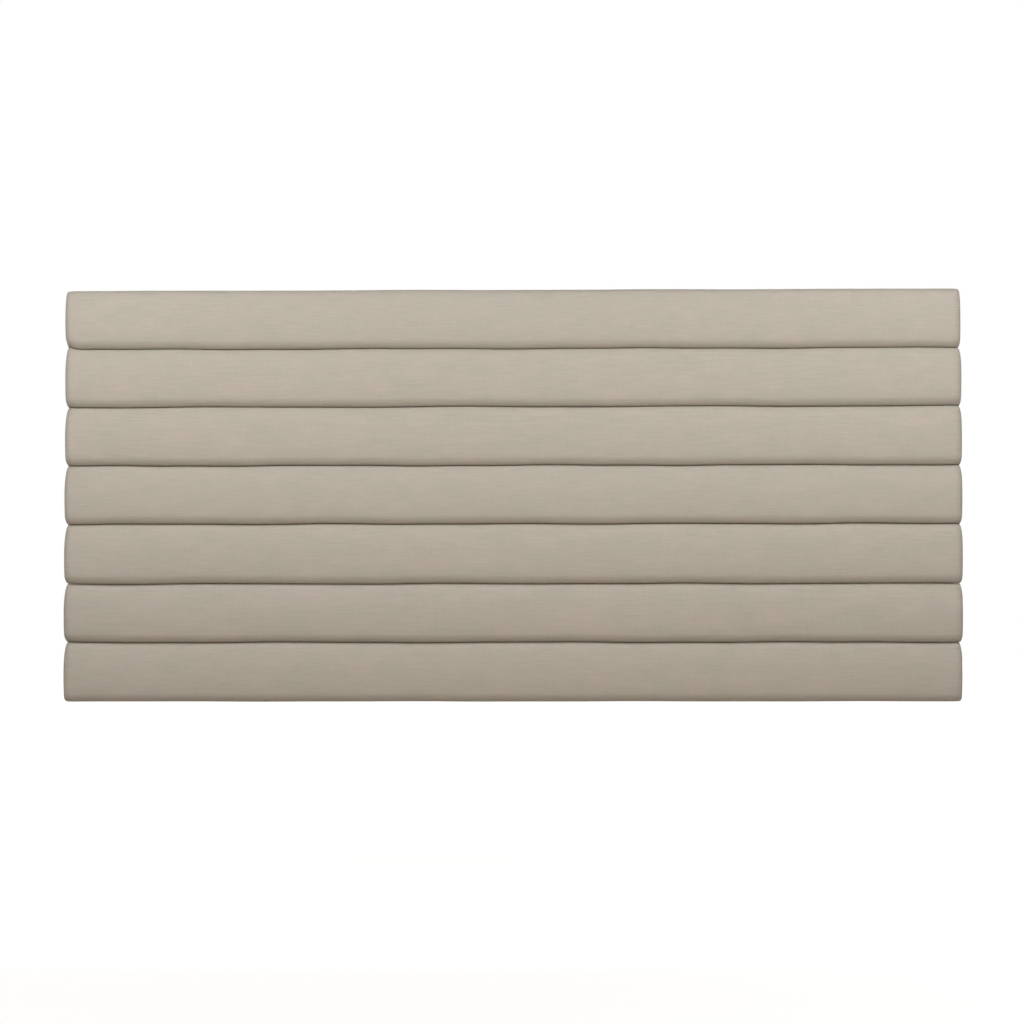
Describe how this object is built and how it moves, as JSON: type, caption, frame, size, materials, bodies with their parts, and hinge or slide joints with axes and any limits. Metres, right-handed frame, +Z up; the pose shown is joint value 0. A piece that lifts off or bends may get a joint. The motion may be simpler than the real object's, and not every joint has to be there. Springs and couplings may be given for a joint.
{
  "type": "upholstered headboard",
  "caption": "Wide wall-hung headboard of horizontal padded linen planks on a pine frame, with an interlocking wall rail at the back.",
  "frame": {"origin": "centre of the wall rail's back face, on the wall plane", "axes": "+X to the right along the headboard, +Y into the wall, +Z up; the padded front faces -Y"},
  "size_m": [1.98, 0.0852, 0.9075],
  "materials": {
    "linen": "fine oatmeal linen weave, matte",
    "wadding": "soft white polyester wadding",
    "foam": "open-cell polyurethane foam",
    "plywood": "sanded birch plywood",
    "pine": "planed pine, unfinished",
    "beech": "fluted beech dowel",
    "zinc_plated_steel": "bright zinc plating",
    "staple_wire": "galvanised wire",
    "dust_cloth": "black non-woven dust cloth",
    "extruded_aluminium": "mill-finish extrusion",
    "wool_felt": "dense grey wool felt"
  },
  "bodies": {
    "wall_rail": {"wall_hanging_rail": "extruded_aluminium"},
    "panel": {"plank_1_cover": "linen", "plank_1_wadding": "wadding", "plank_1_foam": "foam", "plank_1_board": "plywood", "plank_2_cover": "linen", "plank_2_wadding": "wadding", "plank_2_foam": "foam", "plank_2_board": "plywood", "plank_3_cover": "linen", "plank_3_wadding": "wadding", "plank_3_foam": "foam", "plank_3_board": "plywood", "plank_4_cover": "linen", "plank_4_wadding": "wadding", "plank_4_foam": "foam", "plank_4_board": "plywood", "plank_5_cover": "linen", "plank_5_wadding": "wadding", "plank_5_foam": "foam", "plank_5_board": "plywood", "plank_6_cover": "linen", "plank_6_wadding": "wadding", "plank_6_foam": "foam", "plank_6_board": "plywood", "plank_7_cover": "linen", "plank_7_wadding": "wadding", "plank_7_foam": "foam", "plank_7_board": "plywood", "frame_top_rail": "pine", "frame_bottom_rail": "pine", "frame_stile_1": "pine", "frame_stile_2": "pine", "frame_stile_3": "pine", "frame_stile_4": "pine", "frame_stile_5": "pine", "corner_block_top_left": "plywood", "corner_block_top_right": "plywood", "corner_block_bottom_left": "plywood", "corner_block_bottom_right": "plywood", "frame_dowels": "beech", "plank_screws": "zinc_plated_steel", "cover_staples": "staple_wire", "edge_band_top": "linen", "edge_band_bottom": "linen", "edge_band_left": "linen", "edge_band_right": "linen", "dust_cover": "dust_cloth", "dust_cover_staples": "staple_wire", "panel_hanging_rail": "extruded_aluminium", "panel_rail_screws": "zinc_plated_steel", "wall_pad_left": "wool_felt", "wall_pad_middle": "wool_felt", "wall_pad_right": "wool_felt"}
  },
  "joints": [
    {"name": "lift_off", "type": "slide", "parent": "wall_rail", "child": "panel", "axis": [0, 0, 1], "range_m": [0, 0.014]}
  ]
}
